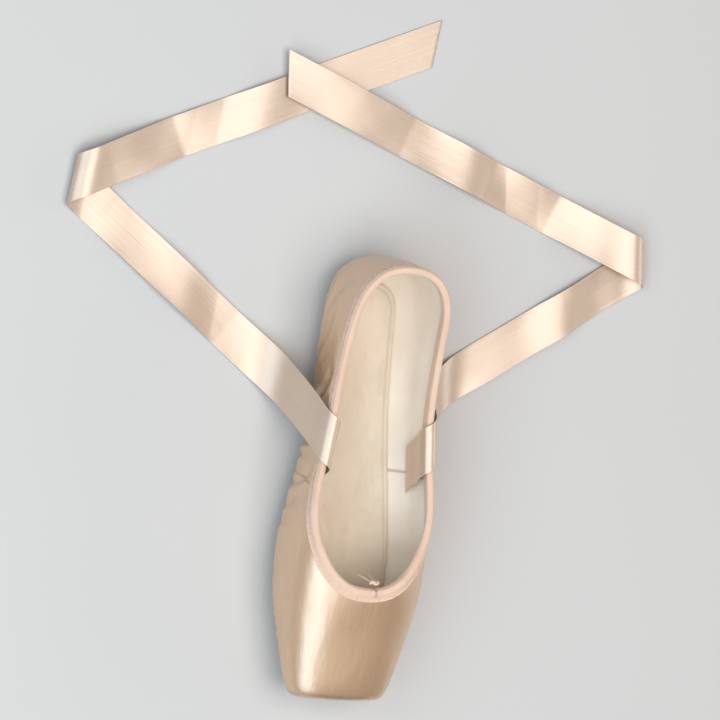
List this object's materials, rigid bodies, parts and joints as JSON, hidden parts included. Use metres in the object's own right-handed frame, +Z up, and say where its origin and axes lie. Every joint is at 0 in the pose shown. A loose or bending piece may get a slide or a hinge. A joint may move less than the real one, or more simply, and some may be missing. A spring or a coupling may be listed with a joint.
{
  "type": "pointe shoe",
  "caption": "Satin pointe shoe with a flat-ended box, leather outsole, tape binding with drawstring, and two long ribbons laid out behind it",
  "frame": {"origin": "on the floor, under the middle of the shoe without its ribbons", "axes": "+X from heel to toe, +Y to the wearer's left, +Z up"},
  "size_m": [0.3591, 0.3325, 0.0608],
  "materials": {
    "satin": "shiny satin, smooth over a hardened box",
    "sole_leather": "matt buffed leather",
    "sock_cloth": "matt cotton",
    "binding_tape": "matt woven tape",
    "ribbon_satin": "shiny satin ribbon",
    "drawstring_cord": "matt cotton cord"
  },
  "bodies": {
    "root": {"upper": "satin", "outsole": "sole_leather", "insole": "sock_cloth", "binding": "binding_tape", "drawstring": "drawstring_cord", "ribbon_left": "ribbon_satin", "ribbon_right": "ribbon_satin"}
  },
  "joints": []
}
